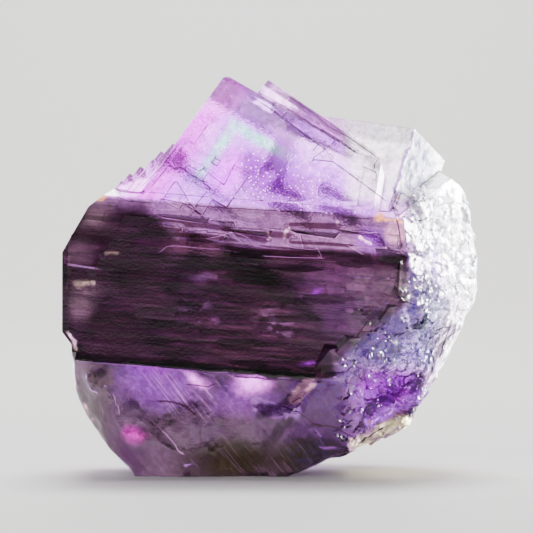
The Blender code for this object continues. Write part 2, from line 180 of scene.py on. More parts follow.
def mergedSolid(source):
    # the solid's loose triangles joined up, flat faces made whole, then cut into full triangles
    bm = bmesh.new()
    bm.from_mesh(source)
    bmesh.ops.remove_doubles(bm, verts=bm.verts, dist=skin["joinWithin"])
    bmesh.ops.dissolve_limit(bm, angle_limit=skin["flatWithin"], verts=bm.verts, edges=bm.edges)
    bmesh.ops.triangulate(bm, faces=bm.faces, quad_method="BEAUTY", ngon_method="BEAUTY")
    mesh = bpy.data.meshes.new("merged")
    bm.to_mesh(mesh)
    bm.free()
    return arraysOf(mesh)


def evenOut(points, triangles):
    # edges that lie inside a flat face are turned to give fuller triangles
    mesh = bpy.data.meshes.new("even")
    mesh.from_pydata(points, [], triangles)
    bm = bmesh.new()
    bm.from_mesh(mesh)
    flat = [e for e in bm.edges if e.is_manifold and e.calc_face_angle() < skin["turnWithin"]]
    bmesh.ops.beautify_fill(bm, faces=bm.faces, edges=flat, method="AREA")
    bm.to_mesh(mesh)
    bm.free()
    return arraysOf(mesh)


def splitLongEdges(points, triangles, longest):
    # every edge longer than allowed gets a new point at its middle, and each triangle is cut
    # into two, three or four by how many of its edges were split
    count = len(points)
    ends = edgeEnds(triangles)
    key, inverse = np.unique(ends.min(1) * count + ends.max(1), return_inverse=True)
    a, b = points[key // count], points[key % count]
    half = (a + b) / 2
    split = np.linalg.norm(a - b, axis=1) > longest(half)
    fresh = np.where(split, count + np.cumsum(split) - 1, -1)
    cut = fresh[inverse].reshape(3, -1).T
    cuts = (cut >= 0).sum(1)
    # a triangle is turned so that a single cut edge comes first and a single whole edge last
    turn = np.where(cuts == 1, np.argmax(cut >= 0, axis=1),
                    np.where(cuts == 2, (np.argmin(cut >= 0, axis=1) + 1) % 3, 0))
    order = (np.arange(3) + turn[:, None]) % 3
    v0, v1, v2 = np.take_along_axis(triangles, order, 1).T
    m0, m1, m2 = np.take_along_axis(cut, order, 1).T
    points = np.concatenate([points, half[split]])
    shorter = (np.linalg.norm(points[v0] - points[m1], axis=1)
               < np.linalg.norm(points[m0] - points[v2], axis=1))
    table = (
        (cuts == 0, (v0, v1, v2)),
        (cuts == 1, (v0, m0, v2)), (cuts == 1, (m0, v1, v2)),
        (cuts == 2, (m0, v1, m1)),
        ((cuts == 2) & shorter, (v0, m0, m1)), ((cuts == 2) & shorter, (v0, m1, v2)),
        ((cuts == 2) & ~shorter, (v0, m0, v2)), ((cuts == 2) & ~shorter, (m0, m1, v2)),
        (cuts == 3, (v0, m0, m2)), (cuts == 3, (m0, v1, m1)),
        (cuts == 3, (m2, m1, v2)), (cuts == 3, (m0, m1, m2)),
    )
    pieces = [np.stack([column[chosen] for column in columns], axis=1) for chosen, columns in table]
    return points, np.concatenate(pieces)


def longestEdge(points):
    # in metres: the front's length at the front, blended to the back's from 2 mm before the ledge's
    # middle line to 10 mm behind it
    back = smooth(points[:, 1] / mm - middle[1], -2, 10)
    return (skin["frontEdge"] * (1 - back) + skin["backEdge"] * back) * mm


def pointNormals(points, triangles):
    # sum of the face normals round each point, each as long as its face is large, made one long
    face = faceNormals(points, triangles)
    normal = np.zeros_like(points)
    for corner in range(3):
        for axis in range(3):
            normal[:, axis] += np.bincount(triangles[:, corner], face[:, axis], len(points))
    return normal / np.maximum(np.linalg.norm(normal, axis=1), 1e-12)[:, None]


def edgeBends(points, triangles):
    # the greatest angle between two faces that meet at each point's edges, folded out (ridge) and
    # folded in (crease); it is out where the second face's middle lies below the first face
    count = len(points)
    face = faceNormals(points, triangles)
    face /= np.maximum(np.linalg.norm(face, axis=1), 1e-15)[:, None]
    heart = points[triangles].sum(1) / 3
    ends = edgeEnds(triangles)
    owner = np.tile(np.arange(len(triangles)), 3)
    order = np.argsort(ends.min(1) * count + ends.max(1), kind="stable")
    one, two = order[0::2], order[1::2]
    f, g = owner[one], owner[two]
    bend = np.arccos(np.clip((face[f] * face[g]).sum(1), -1, 1))
    outward = ((heart[g] - heart[f]) * face[f]).sum(1) < 0
    ridge, crease = np.zeros(count), np.zeros(count)
    for side in range(2):
        np.maximum.at(ridge, ends[one][:, side], np.where(outward, bend, 0))
        np.maximum.at(crease, ends[one][:, side], np.where(outward, 0, bend))
    return ridge, crease


def relaxed(points, triangles, share, rounds):
    # each round, a point moves its share of the way to the mean of its neighbours
    here, there = edgeEnds(triangles).T
    count = np.bincount(here, minlength=len(points))
    for _ in range(rounds):
        mean = np.stack([np.bincount(here, points[there, k], len(points)) for k in range(3)], axis=1)
        mean /= count[:, None]
        points = points + (mean - points) * share[:, None]
    return points


def frontPlaces(place):
    # where a point stands in the front view: its offset from the view's axis, scaled by
    # the camera's distance over the point's own
    above = np.array((0, math.sin(cameraRise), math.cos(cameraRise)))
    centre = np.array(studio["target"]) - middle
    offset = place - centre - towardsCamera * cameraDistance
    scale = cameraDistance / -(offset @ towardsCamera)
    return offset[:, 0] * scale + centre[0], offset @ above * scale + centre[2]


points, triangles = mergedSolid(solid.data)
for step in range(skin["rounds"]):
    points, triangles = evenOut(points, triangles)
    looser = max(1.0, skin["loosest"] / 2 ** step)
    points, triangles = splitLongEdges(points, triangles, lambda p: longestEdge(p) * looser)
points, triangles = evenOut(points, triangles)
print("skin cut:", len(points), "points", len(triangles), "triangles")

place = points / mm - middle      # mm, from here on
x, y, z = place.T
seenX, seenZ = frontPlaces(place)
facing = smooth(-pointNormals(points, triangles)[:, 1], -0.1, 0.25)      # 1 where it faces the front
ridge, crease = edgeBends(points, triangles)
mean = relaxed(points, triangles, np.ones(len(points)), skin["meanRounds"])
hollow = ((mean - points) * pointNormals(mean, triangles)).sum(1) / mm      # mm below the mean surface

# where the surface is a clean crystal face, a cleaved ledge, or broken
fall = x * math.tan(ledgeTurn)
crest = form["crest"] - fall
lip = form["lip"] - fall
aboveCrest = smooth(z - crest, -0.4, 0.2)      # the cubes, over the ledge
front = 1 - smooth(y, -4.0, 1.0)               # as deep as the ledge goes back
(slantX, slantZ), (acrossX, acrossZ) = form["slantPoint"], form["slantAcross"]
slant = acrossX * (x - slantX) + acrossZ * (z - slantZ)
pastLedge = np.maximum(slant, np.where(z > form["slantTop"], x - form["ledgeRight"], -9))      # mm
brokenRight = smooth(pastLedge, -0.6, 0.8) * (1 - smooth(z, 39.5, 42.0)) * (1 - smooth(y, 7, 11))
brokenRight *= smooth(x, 8.0, 11.0)
ledgeFace = front * (1 - aboveCrest) * smooth(z, lip - 0.5, lip + 0.1) * (1 - brokenRight)
lower = (1 - smooth(z, lip - 0.6, lip + 0.2)) * (1 - smooth(y, 3, 8)) * (1 - brokenRight)
domed = ledgeFace * smooth(x, 9, 13) * (1 - smooth(z, 29, 31))      # broken right end of the ledge

foot = smooth(z, 0.0, 1.0)      # the flat that it stands on stays flat
worn = np.clip(lower * 0.9 + brokenRight * 0.75, 0, 1) * foot
points = relaxed(points, triangles, worn * skin["wornShare"], skin["wornRounds"])
normal = pointNormals(points, triangles)

# relief in mm: shell-shaped breaks 2.6 and 1.1 mm across, ripples 1.2 mm apart by the right edge,
# growth lines 5 mm long and 0.4 mm high along the ledge, and grain of 0.9 mm
rough = np.clip(brokenRight + lower * 0.6 + domed * 0.7, 0, 1)
scoops = facets(place / (2.6, 2.6, 2.2), 11) * skin["scoop"] + facets(place / 1.1, 31) * skin["flake"]
ripple = np.sin((0.9 * x - 0.45 * z + 1.6 * cloud(place / 4, 2, 61)) * 5.2) * skin["ripple"]
edgeLines = brokenRight * smooth(x, 21, 25) * (1 - smooth(z, 22, 26))
growth = cloud(np.stack([x / 5.0, y / 2.0, (z + fall) / 0.42], axis=1), 3, 51)
grain = cloud(place / 0.9, 3, 71)
lift = brokenRight * (scoops * (1 - 0.7 * edgeLines) + edgeLines * ripple * 4)
lift += domed * scoops * 0.35
lift += lower * (skin["swell"] * cloud(place / 4.0, 3, 81) + skin["pitting"] * facets(place / 0.9, 91))
lift += ledgeFace * skin["growthLines"] * (growth + 0.5 * grain)
lift += (1 - rough) * (1 - ledgeFace) * skin["grain"] * grain
points = points + normal * (lift * foot * mm)[:, None]
points = np.clip(points, np.array(cadBox[0]), np.array(cadBox[1]))
print("relief raised")

# Tint of each zone as it shows by itself: the front's share of the light that comes through from behind
fluoriteTints = dict(
    # purple zoning and the cube face
    body="#E5CBEC", lilac="#CEA6ED", haze="#BF81DD", smoky="#AD89BF", pink="#ED35ED", rim="#FFC4FF",
    flank="#FFBCFF", green="#89FFBC", deep="#7C199B", hot="#E707F9", plateWhite="#EDCBED",
    # right side; blownWhite is painted light, the glare that shows the surface white
    blownWhite="#FFFFFF", frostHighlight="#DAE7ED", steel="#848BA2", slateShade="#595769", beige="#B3A290",
    # ledge
    strip="#655961", band="#180B12", bandMauve="#3F2D30", bandPurple="#3B2938", taupe="#524D45",
    straw="#6C7350", violet="#69037C", shade="#100D0A", gold="#C4A63F", cream="#FFFFDA",
    # lower part
    mauve="#3B3537", under="#593765", dusk="#2D1930", olive="#161804", grey="#3C3C2F", tan="#A29581",
    hotspot="#FF95FF", glow="#AD038B",
)
tint = {name: np.array(linear(value)) for name, value in fluoriteTints.items()}


def painted(colour, within, layers):
    # each layer in turn covers what is there: colour * (1 - w) + tint * w, where w is within * share
    for name, share in layers:
        weight = np.reshape(within * share, (-1, 1))
        colour = colour * (1 - weight) + tint[name] * weight
    return colour


def patch(centre, radii, edge=0.2, tilt=0.0):
    # a soft oval in the front view, turned by tilt degrees, its rim moved about by warp:
    # 1 out to edge times its radii, and down to 0 at the radii
    turn = math.radians(tilt)
    right, up = softX - centre[0], softZ - centre[1]
    far = np.hypot((right * math.cos(turn) + up * math.sin(turn)) / radii[0],
                   (up * math.cos(turn) - right * math.sin(turn)) / radii[1])
    return 1 - smooth(far, edge, 1.0)


def lineField(lines, across, upward):
    # distance to the nearest of many drawn lines over three quarters of that line's half width:
    # signed by the side of the line, so that the sign changes right on it, and unsigned
    nearest = np.full(len(points), 1e3)
    signed = np.full(len(points), 1e3)
    for width, corners in lines:
        width = width * 0.75
        for (x0, z0), (x1, z1) in zip(corners, corners[1:]):
            run, rise = x1 - x0, z1 - z0
            t = np.clip(((across - x0) * run + (upward - z0) * rise) / (run * run + rise * rise), 0, 1)
            far = np.hypot(across - x0 - t * run, upward - z0 - t * rise) / width
            side = np.sign((across - x0) * rise - (upward - z0) * run)
            closer = far < nearest
            nearest = np.where(closer, far, nearest)
            signed = np.where(closer, far * side, signed)
    return signed, nearest


def strokes(*lines):
    # soft, wandering broad strokes in the front view, from their half widths and centre lines:
    # 1 out to half the width that lineField measures by, and down to 0 at 1.2 times it
    _, far = lineField(lines, seenX + wander[:, 0], seenZ + wander[:, 1])
    return 1 - smooth(far, 0.5, 1.2)


warp = np.stack([cloud(place / 5.0, 3, 101 + k) for k in range(3)], axis=1)
wander = np.stack([cloud(place / 1.6, 3, 191 + k) for k in range(2)], axis=1) * 0.55      # mm
softX, softZ = seenX + warp[:, 0] * 1.2, seenZ + warp[:, 1] * 1.2
speckle = smooth(cloud(place / 0.9, 3, 131), -0.1, 0.4)
blotch = smooth(cloud(place / (1.3, 1.3, 0.7), 4, 231), 0.0, 0.35)

# growth zones lie parallel to the cube faces all through the specimen, 7.5, 9 and 6.5 mm apart
lean, roll = math.radians(form["cubeLean"]), math.radians(form["cubeRoll"])
level = np.array((1.0, 0.0, 0.0))
upright = np.array((0.0, math.sin(lean), math.cos(lean)))
outward = np.array((0.0, -math.cos(lean), math.sin(lean)))
along = level * math.cos(roll) - upright * math.sin(roll)
above = level * math.sin(roll) + upright * math.cos(roll)
zoning = sum(np.sin(place @ axis * 2 * math.pi / step + warp[:, k])
             for k, (axis, step) in enumerate(((along, 7.5), (above, 9.0), (outward, 6.5)))) / 3
natural = painted(np.tile(tint["body"], (len(points), 1)), 1, (
    ("lilac", smooth(zoning, -0.4, 0.6) * 0.6),
    ("haze", smooth(cloud(place / 11, 2, 161), 0.0, 0.6) * 0.5),
))

# big cube face: bands of colour run parallel to its edges; patch places and radii are in mm
tip = np.array(form["cubeTip"])
fromLeft = (place - tip) @ along + warp[:, 0] * 0.5
fromTop = -(place - tip) @ above + warp[:, 1] * 0.5
inward = np.minimum(fromLeft, fromTop * 0.9)
cubeFace = aboveCrest * facing * (1 - smooth(x, 14, 16))
greenBand = smooth(inward, 4.4, 5.4) * (1 - smooth(inward, 5.8, 7.0))
greenBand *= (1 - smooth(fromTop, 14, 18)) * (1 - smooth(fromLeft, 11, 17))
colour = painted(natural, cubeFace, (
    ("haze", 1.0),
    ("pink", 1 - smooth(fromLeft, 2.0, 4.8)),                           # band by the left edge
    ("flank", patch((-7.1, 55.7), (4.8, 4.2)) * 0.85),                  # paler below the tip
    ("rim", patch((-8.6, 49.4), (1.6, 5.0), 0.0, -30) * 0.35),          # pale line inside the pink
    ("green", greenBand * (0.65 + 0.35 * speckle)),                     # chevron below the tip
    ("deep", patch((-1.0, 43.5), (9.5, 4.6), 0.25, -14) * 0.9),         # purple heart
    ("deep", patch((-3.0, 44.8), (3.6, 3.0)) * 0.8),
    ("deep", patch((1.9, 41.2), (12.0, 4.0), 0.0, -6) * 0.6),
    ("hot", patch((-7.1, 42.9), (3.8, 3.2), 0.25)),                     # magenta left of the heart
    ("hot", patch((-6.2, 44.4), (2.2, 4.4), 0.0, -30) * 0.6),
    ("lilac", patch((5.9, 45.5), (1.6, 1.2)) * 0.9),                    # dull spot past the chevron
    ("flank", 1 - smooth(fromLeft, -1.0, -0.3)),                        # steps outside the left edge
    ("rim", (1 - smooth(np.abs(fromLeft + 0.1), 0.15, 0.4)) * 0.8),     # painted highlight along the edge
    ("deep", (1 - smooth(z - crest, 0.6, 2.0)) * smooth(seenX, -12, -4) * 0.3),      # over the ledge
    ("blownWhite", (1 - smooth(fromTop, 3.0, 5.0)) * smooth(fromLeft, 3.5, 6.0) * 0.35),  # painted highlight along the top
))

# plates behind the big cube, the second cube, and the broken right side
behind = smooth(y, 2, 8)
secondCube = smooth(x + warp[:, 0] * 3 * behind, 9.5, 12 + 6 * behind) * smooth(z, 38, 41)
platesBehind = aboveCrest * (1 - smooth(fromTop, -0.25, 0.1)) * (x < 12)
frosted = secondCube * facing * strokes((3.4, ((22.8, 47.6), (19.4, 39.3))))
upperRight = brokenRight * smooth(z + 0.2 * x, 18, 21)
# the second cube and the upper right are painted white as painted light, for the glare from behind that
# blows them out
colour = painted(colour, 1, (
    ("plateWhite", platesBehind),
    ("blownWhite", secondCube * 0.95),
    ("steel", frosted * (0.35 + 0.5 * speckle) * (1 - smooth(seenX, 22, 25))),
    ("deep", secondCube * strokes((0.35, ((20.7, 49.3), (17.8, 41.2)))) * 0.8),      # its near edge
    ("blownWhite", upperRight),
))
pastEdge = pastLedge + warp[:, 0] * 1.5      # mm past the ledge, with a wandering rim
inner = upperRight * (1 - smooth(seenX + warp[:, 1] * 1.6, 23.5, 26.0)) * (1 - smooth(seenZ, 26.5, 30.0))
colour = painted(colour, inner, (
    ("steel", 0.9),
    ("slateShade", 1 - smooth(pastEdge, 2.0, 6.0)),                          # painted shade against the ledge
    ("frostHighlight", patch((23.9, 23.5), (2.6, 3.4), 0.1) * 0.8),              # painted highlights on lumps and on a seam
    ("frostHighlight", patch((20.0, 24.8), (1.2, 3.0), 0.1, -20) * 0.8),
    ("frostHighlight", strokes((0.35, ((19.0, 24.8), (19.9, 22.6), (21.0, 19.4)))) * 0.9),
    ("slateShade", strokes((0.5, ((19.9, 24.5), (20.4, 23.6))), (0.3, ((22.2, 22.6), (23.6, 21.9))))),   # painted shade in pits
    ("violet", patch((15.8, 19.7), (2.0, 1.2), 0.1, 30) * 0.5),
))
outer = upperRight * smooth(seenZ, 26.0, 29.5)
colour = painted(colour, outer, (
    ("taupe", (1 - smooth(pastEdge, 0.6, 3.4)) * 0.8),
    # frosted specks, partly painted highlight
    ("frostHighlight", speckle * 0.5),
    ("lilac", patch((23.9, 30.7), (3.4, 4.4), 0.1) * speckle * 0.7),
    ("slateShade", patch((19.3, 29.6), (2.6, 3.4), 0.1) * (0.4 + 0.5 * speckle)),
))
colour = painted(colour, brokenRight, (("beige", patch((18.1, 34.4), (3.4, 3.0)) * 0.8),))

# ledge: a lighter strip below its crest, and the dark band of stacked sheets under that. The band is darker
# in itself and is painted darker still as shade, for its faces turn down and away from the light behind
colour = painted(colour, ledgeFace, (
    ("strip", 1.0),
    ("deep", patch((14.6, 33.9), (3.2, 2.6), 0.0) * 0.6),
    ("beige", patch((18.4, 34.9), (2.3, 2.3), 0.5) * 0.75),             # chipped right end
))
# the dark band's upper edge lies 5 mm below the crest and rises to the left
bandTop = crest - 5.0 + warp[:, 2] * 0.7
bandTop = bandTop + 4.2 * (1 - smooth(seenX, -19.0, -12.5)) + 1.4 * (1 - smooth(seenX, -12, -7))
bandFade = 0.9 + 2.2 * (1 - smooth(seenX, -15, -10))      # mm over which it darkens
dark = ledgeFace * (1 - smooth(z, bandTop - bandFade, bandTop))
colour = painted(colour, dark, (
    ("band", 1.0),
    ("bandMauve", smooth(growth, -0.1, 0.7) * 0.7 * smooth(seenX, -17, -9)),
    ("bandPurple", patch((10.0, 25.2), (9, 8)) * 0.85),
    ("taupe", patch((-28.0, 32.5), (3.0, 3.0)) * 0.25),
    ("bandMauve", patch((-10.3, 32.5), (8.0, 2.2), 0.1, -4) * 0.7),
    ("strip", patch((-10.3, 23.2), (5.6, 2.6), 0.3) * blotch * 0.5),             # thin places
    ("strip", patch((0.7, 21.8), (4.6, 4.2), 0.3, -4) * blotch * 0.45),
    ("strip", patch((-9.9, 28.1), (3.0, 0.7), 0.2, -4) * 0.35),
))
colour = painted(colour, domed, (("taupe", (0.35 + 0.35 * speckle) * smooth(seenX, 9, 12)),))
colour = painted(colour, dark, (
    ("taupe", patch((-27.7, 25.2), (3.6, 4.6), 0.1) * 0.75),                     # left end
    ("taupe", patch((-25.5, 37.4), (4.0, 2.4), 0.1) * 0.7),
    ("straw", strokes((0.55, ((-28.4, 27.6), (-25.7, 27.6)))) * 0.8),            # lit sheet ends
    ("straw", strokes((0.25, ((-23.9, 32.0), (-22.3, 31.8)))) * 0.6),
))
colour = painted(colour, ledgeFace, (
    ("violet", patch((6.8, 26.4), (1.2, 0.6), 0.2, 35) * 0.6),                   # glints
    ("violet", patch((5.1, 16.1), (1.8, 0.5)) * 0.7),
))

# lower part: the middle and left below the ledge, and the block that closes it on the right
block = np.clip((lower + brokenRight) * smooth(x, 1.5, 4.0) * (1 - smooth(z + 0.2 * x, 17.5, 20.5)), 0, 1)
below = np.clip(lower + block, 0, 1)
colour = painted(colour, lower, (
    ("mauve", 1.0),
    ("under", patch((-16.1, 12.9), (9.0, 4.6))),                                 # purple in the smoke
    ("violet", patch((-17.5, 14.9), (4.4, 1.8), 0.0) * 0.6),
    ("under", patch((-4.5, 10.7), (8.0, 3.4), 0.1) * 0.8),
    ("grey", 1 - smooth(seenX + warp[:, 0], -24.4, -22.2)),                      # worn left edge
    ("hotspot", patch((-2.8, 13.0), (4.0, 2.6), 0.0)),                           # lit from behind
    ("hotspot", patch((-11.0, 14.1), (3.0, 1.2), 0.0, -30) * 0.7),
    ("glow", patch((-19.9, 5.4), (2.9, 1.7), 0.1) * (0.6 + 0.4 * speckle)),      # magenta spot
))
colour = painted(colour, block, (
    ("mauve", 1.0),
    ("dusk", (1 - smooth(x, 10, 14)) * 0.7),
    ("smoky", smooth(x, 9, 16) * 0.3),
))
colour = painted(colour, below, (
    ("dusk", patch((7.4, 10.4), (4.4, 4.2), 0.3) * (0.4 + 0.6 * blotch)),
    ("olive", patch((-5.7, 2.8), (6.0, 3.6), 0.4) * 0.9),                        # smoky foot
    ("olive", patch((4.2, 2.8), (6.5, 3.0), 0.3) * 0.8),
    ("shade", strokes((1.3, ((2.2, 7.8), (0.1, 4.9), (-2.2, 2.0)))) * 0.6),      # crease above it
    ("shade", patch((7.4, 5.8), (4.4, 1.9), 0.2, -12) * blotch * 0.8),
))
leftRim = strokes((0.5, ((-29.1, 15.7), (-28.7, 13.0), (-27.4, 9.9), (-25.1, 6.4), (-23.1, 3.2))))
colour = painted(colour, lower * facing, (("beige", leftRim * speckle * 0.9),))
colour = painted(colour, block, (
    ("violet", patch((17.1, 13.0), (7.2, 4.0), 0.5, 28)),                        # violet corner
    ("hot", patch((18.7, 11.0), (2.0, 1.2), 0.0, 20) * 0.4),
    ("under", patch((14.6, 9.0), (4.4, 3.0), 0.0) * 0.7),
))
dimStep = strokes((1.3, ((-2.2, 10.0), (0.7, 9.4), (3.3, 9.0)))) * lower      # a step's level top
colour = painted(colour, dimStep, (("smoky", 0.5),))
colour = painted(colour, below * facing, (
    ("olive", (1 - smooth(seenZ + warp[:, 0], 2.0, 6.0)) * smooth(seenX, -16, -11) * 0.7),
    ("olive", patch((6.8, 2.6), (7.5, 3.4), 0.45) * 0.65),
))
colour = painted(colour, below, (("tan", strokes((1.2, ((3.3, 10.7), (6.2, 14.1)))) * 0.9),))
colour = painted(colour, block, (("flank", strokes((0.8, ((16.4, 9.0), (20.2, 11.0)))) * 0.2),))
broken = np.maximum(brokenRight, block)
shadow = strokes((2.0, ((9.7, 14.5), (13.5, 16.5), (17.5, 18.0))))
colour = painted(colour, broken, (
    ("slateShade", shadow * 0.85),                                                    # painted shadow under the ledge
    ("under", shadow * speckle * 0.6),
    ("blownWhite", strokes((1.5, ((27.1, 22.6), (24.9, 17.7), (22.8, 11.9)))) * 0.9),      # painted highlight along the right edge
))
blockRim = strokes((1.2, ((14.1, 7.5), (17.3, 9.1), (20.4, 10.4), (22.2, 11.5))))
colour = painted(colour, block, (("haze", blockRim * 0.7),))
chipped = strokes((1.3, ((12.2, 4.3), (16.1, 6.4), (19.3, 7.8)))) * below      # fresh, pale chips
colour = painted(colour, chipped, (("cream", 0.95),))
# painted shade under the ledge's right end, in the band's dark colour
ledgeEnd = strokes((1.7, ((7.7, 16.4), (10.3, 18.0), (13.2, 20.4), (16.1, 23.1))))
ledgeEnd = ledgeEnd * (1 - dark) * (1 - smooth(y, 2, 6))
colour = painted(colour, ledgeEnd, (
    ("band", 0.75),
    ("taupe", speckle * 0.25),
))
shaded = smooth(hollow, 0.05, 0.35) * facing * ledgeFace * (1 - dark)      # hollows hold shade
colour = painted(colour, 1, (
    ("bandPurple", facing * patch((9.4, 17.7), (3.4, 1.8), 0.4, 45) * 0.7),
    ("shade", shaded * 0.8),
))

# cracks and the edges of cleavage steps, the wider strokes painted shade in the recesses under the steps:
# half width and then the corners in the front view, mm
darkLines = (
    (0.11, ((-2.8, 54.7), (0.0, 52.9), (4.0, 49.9), (7.6, 47.2), (9.0, 46.0))),
    (0.11, ((-1.7, 55.3), (1.2, 53.7), (5.4, 51.1), (8.1, 49.2), (12.4, 46.5))),
    (0.09, ((0.0, 53.0), (0.7, 53.9), (1.3, 53.5))),
    (0.09, ((7.4, 50.0), (10.0, 48.4), (12.4, 46.7))),
    (0.11, ((1.1, 55.3), (2.8, 54.6), (6.4, 52.1), (8.6, 50.2), (11.0, 49.0), (15.6, 45.8))),
    (0.09, ((15.6, 45.8), (14.9, 44.7), (15.3, 43.7), (15.2, 42.2))),
    (0.09, ((13.4, 44.6), (15.3, 43.7))),
    (0.11, ((9.3, 48.2), (7.7, 47.0), (6.1, 45.8), (5.9, 45.4))),
    (0.14, ((6.1, 45.6), (9.0, 45.3), (12.4, 42.8), (16.3, 39.9))),
    (0.10, ((-17.1, 41.9), (-14.8, 44.8), (-13.8, 44.1), (-13.2, 44.6), (-12.2, 43.8), (-10.0, 42.4),
            (-8.7, 41.4))),
    (0.10, ((-12.6, 44.3), (-11.9, 44.8), (-10.5, 43.9), (-9.8, 44.3), (-8.4, 43.1),
            (-6.8, 41.9), (-5.2, 45.0))),
    (0.09, ((-10.8, 43.1), (-10.0, 42.4), (-9.2, 43.5))),
    (0.10, ((-15.6, 39.8), (-15.1, 40.8), (-13.8, 42.6), (-12.7, 40.9), (-11.6, 39.0),
            (-9.1, 36.5))),
    (0.09, ((-10.8, 39.1), (-9.6, 40.6), (-8.7, 41.4))),
    (0.08, ((-10.9, 38.3), (-11.9, 37.2))),
    (0.08, ((-18.8, 41.7), (-16.1, 44.3), (-13.9, 47.1))),
    (0.10, ((-22.9, 40.5), (-20.9, 39.6), (-17.5, 39.3))),
    (0.10, ((-15.7, 39.9), (-11.3, 38.9), (-6.4, 38.6), (-1.6, 38.3), (4.2, 38.0), (9.5, 37.8),
            (11.0, 37.2), (14.4, 37.0))),
    (0.30, ((-16.4, 36.9), (-12.5, 36.5))),
    (0.65, ((-12.2, 36.2), (-9.4, 36.0), (-6.2, 35.5))),
    (0.20, ((-16.4, 35.8), (-12.8, 35.4))),
    (0.75, ((-4.8, 34.8), (-2.8, 34.5), (-1.0, 33.9))),
    (0.70, ((-0.1, 34.8), (2.5, 34.6))),
    (0.45, ((2.9, 36.2), (9.7, 36.1))),
    (0.20, ((4.9, 35.8), (9.0, 35.6), (12.9, 34.8))),
    (0.55, ((-13.8, 34.8), (-9.6, 34.5), (-7.1, 34.2))),
    (0.35, ((3.0, 33.6), (7.1, 33.4), (11.5, 33.1))),
    (0.30, ((-1.3, 32.5), (4.2, 32.1), (6.5, 31.9))),
    (0.22, ((-25.3, 31.3), (-25.3, 27.0))),
    (0.18, ((-28.0, 21.9), (-23.8, 21.7))),
    (0.08, ((-20.7, 11.2), (-17.1, 7.5), (-16.1, 6.5))),
    (0.20, ((-16.4, 10.6), (-14.6, 10.6), (-12.5, 9.9), (-11.0, 8.6))),
    (0.12, ((-12.2, 13.0), (-8.6, 12.8))),
    (0.10, ((-10.3, 6.4), (-10.2, 2.3))),
    (0.16, ((1.7, 9.6), (3.9, 9.0), (6.1, 7.1), (9.0, 6.8), (11.7, 5.4))),
    (0.12, ((3.0, 10.4), (4.2, 11.3), (4.5, 10.9))),
    (0.12, ((11.9, 3.9), (15.5, 6.4), (16.7, 6.7))),
    (0.12, ((23.6, 20.7), (26.0, 21.5))),
    (0.12, ((25.7, 20.9), (24.5, 16.8), (23.3, 14.8))),
    (0.12, ((26.7, 20.9), (25.4, 16.5), (24.1, 13.9))),
)
# small facets painted bright cream as painted glints
facetGlints = (
    (0.34, ((2.2, 34.4), (2.6, 35.5))),
    (0.20, ((-0.6, 34.8), (-0.3, 34.1))),
    (0.18, ((9.7, 36.0), (10.0, 36.7))),
    (0.30, ((13.0, 34.2), (14.6, 33.2))),
    (0.30, ((-29.5, 20.6), (-28.8, 19.4), (-28.2, 18.0))),
)
# pale lines along the edges of cleavage plates: painted highlights where the edges catch the light
paleLines = (
    (0.12, ((-13.9, 46.9), (-12.5, 45.8))),
    (0.12, ((-12.1, 45.9), (-11.5, 45.3))),
    (0.07, ((-16.1, 32.2), (-15.1, 33.0), (-13.7, 33.1), (-10.0, 32.7), (-7.0, 32.6), (-4.8, 32.1))),
    (0.05, ((-9.3, 34.1), (-7.4, 34.5), (-5.5, 35.1), (-3.3, 34.3), (-2.6, 33.2), (-0.6, 32.8))),
    (0.07, ((1.7, 33.3), (3.2, 32.8), (6.1, 32.5), (6.7, 32.8), (7.4, 31.4))),
    (0.09, ((-1.0, 31.6), (2.8, 31.4), (7.5, 31.3))),
    (0.10, ((11.3, 33.1), (13.2, 31.9))),
    (0.22, ((-29.4, 30.4), (-25.4, 29.8))),
    (0.10, ((-17.1, 7.5), (-15.1, 5.4), (-12.8, 2.8))),
    (0.10, ((-22.8, 11.3), (-22.7, 10.4))),
    (0.10, ((-22.2, 9.9), (-22.1, 9.0))),
    (0.14, ((16.5, 41.1), (17.8, 40.9))),
    (0.14, ((17.0, 39.1), (18.0, 39.0))),
    (0.16, ((19.3, 41.3), (24.8, 38.7))),
    (0.10, ((10.9, 12.0), (11.6, 14.8))),
)
goldLines = (
    (0.20, ((16.4, 36.9), (20.6, 36.4))),
    (0.90, ((15.7, 37.1), (15.9, 37.4))),
    (0.16, ((20.6, 36.4), (20.4, 33.1))),
    (0.70, ((-24.9, 40.2), (-24.2, 40.5))),
    (0.30, ((18.4, 39.9), (18.7, 40.3))),
)
colour = painted(colour, facing, (
    ("gold", strokes(*goldLines) * 0.85),
    ("cream", strokes(*facetGlints) * 0.6),
))
darkSide, darkFar = lineField(darkLines, seenX, seenZ)
paleSide, paleFar = lineField(paleLines, seenX, seenZ)

# faces turned away from the front keep the plain zoning, smokier beside the ledge and below it
besideLedge = np.clip(front * (1 - aboveCrest) * (1 - brokenRight) + lower, 0, 1)
underside = np.clip(block * (1 - smooth(x, 10, 14)) + lower * (1 - smooth(z, 2, 5)), 0, 1)
natural = painted(natural, 1, (
    ("smoky", besideLedge * 0.8),
    ("under", underside * 0.85),
))
turned = (1 - facing) * (1 - brokenRight) * (1 - secondCube) * (1 - 0.4 * below * smooth(x, -8, -4)) * 0.85
colour = colour * (1 - turned[:, None]) + natural * turned[:, None]

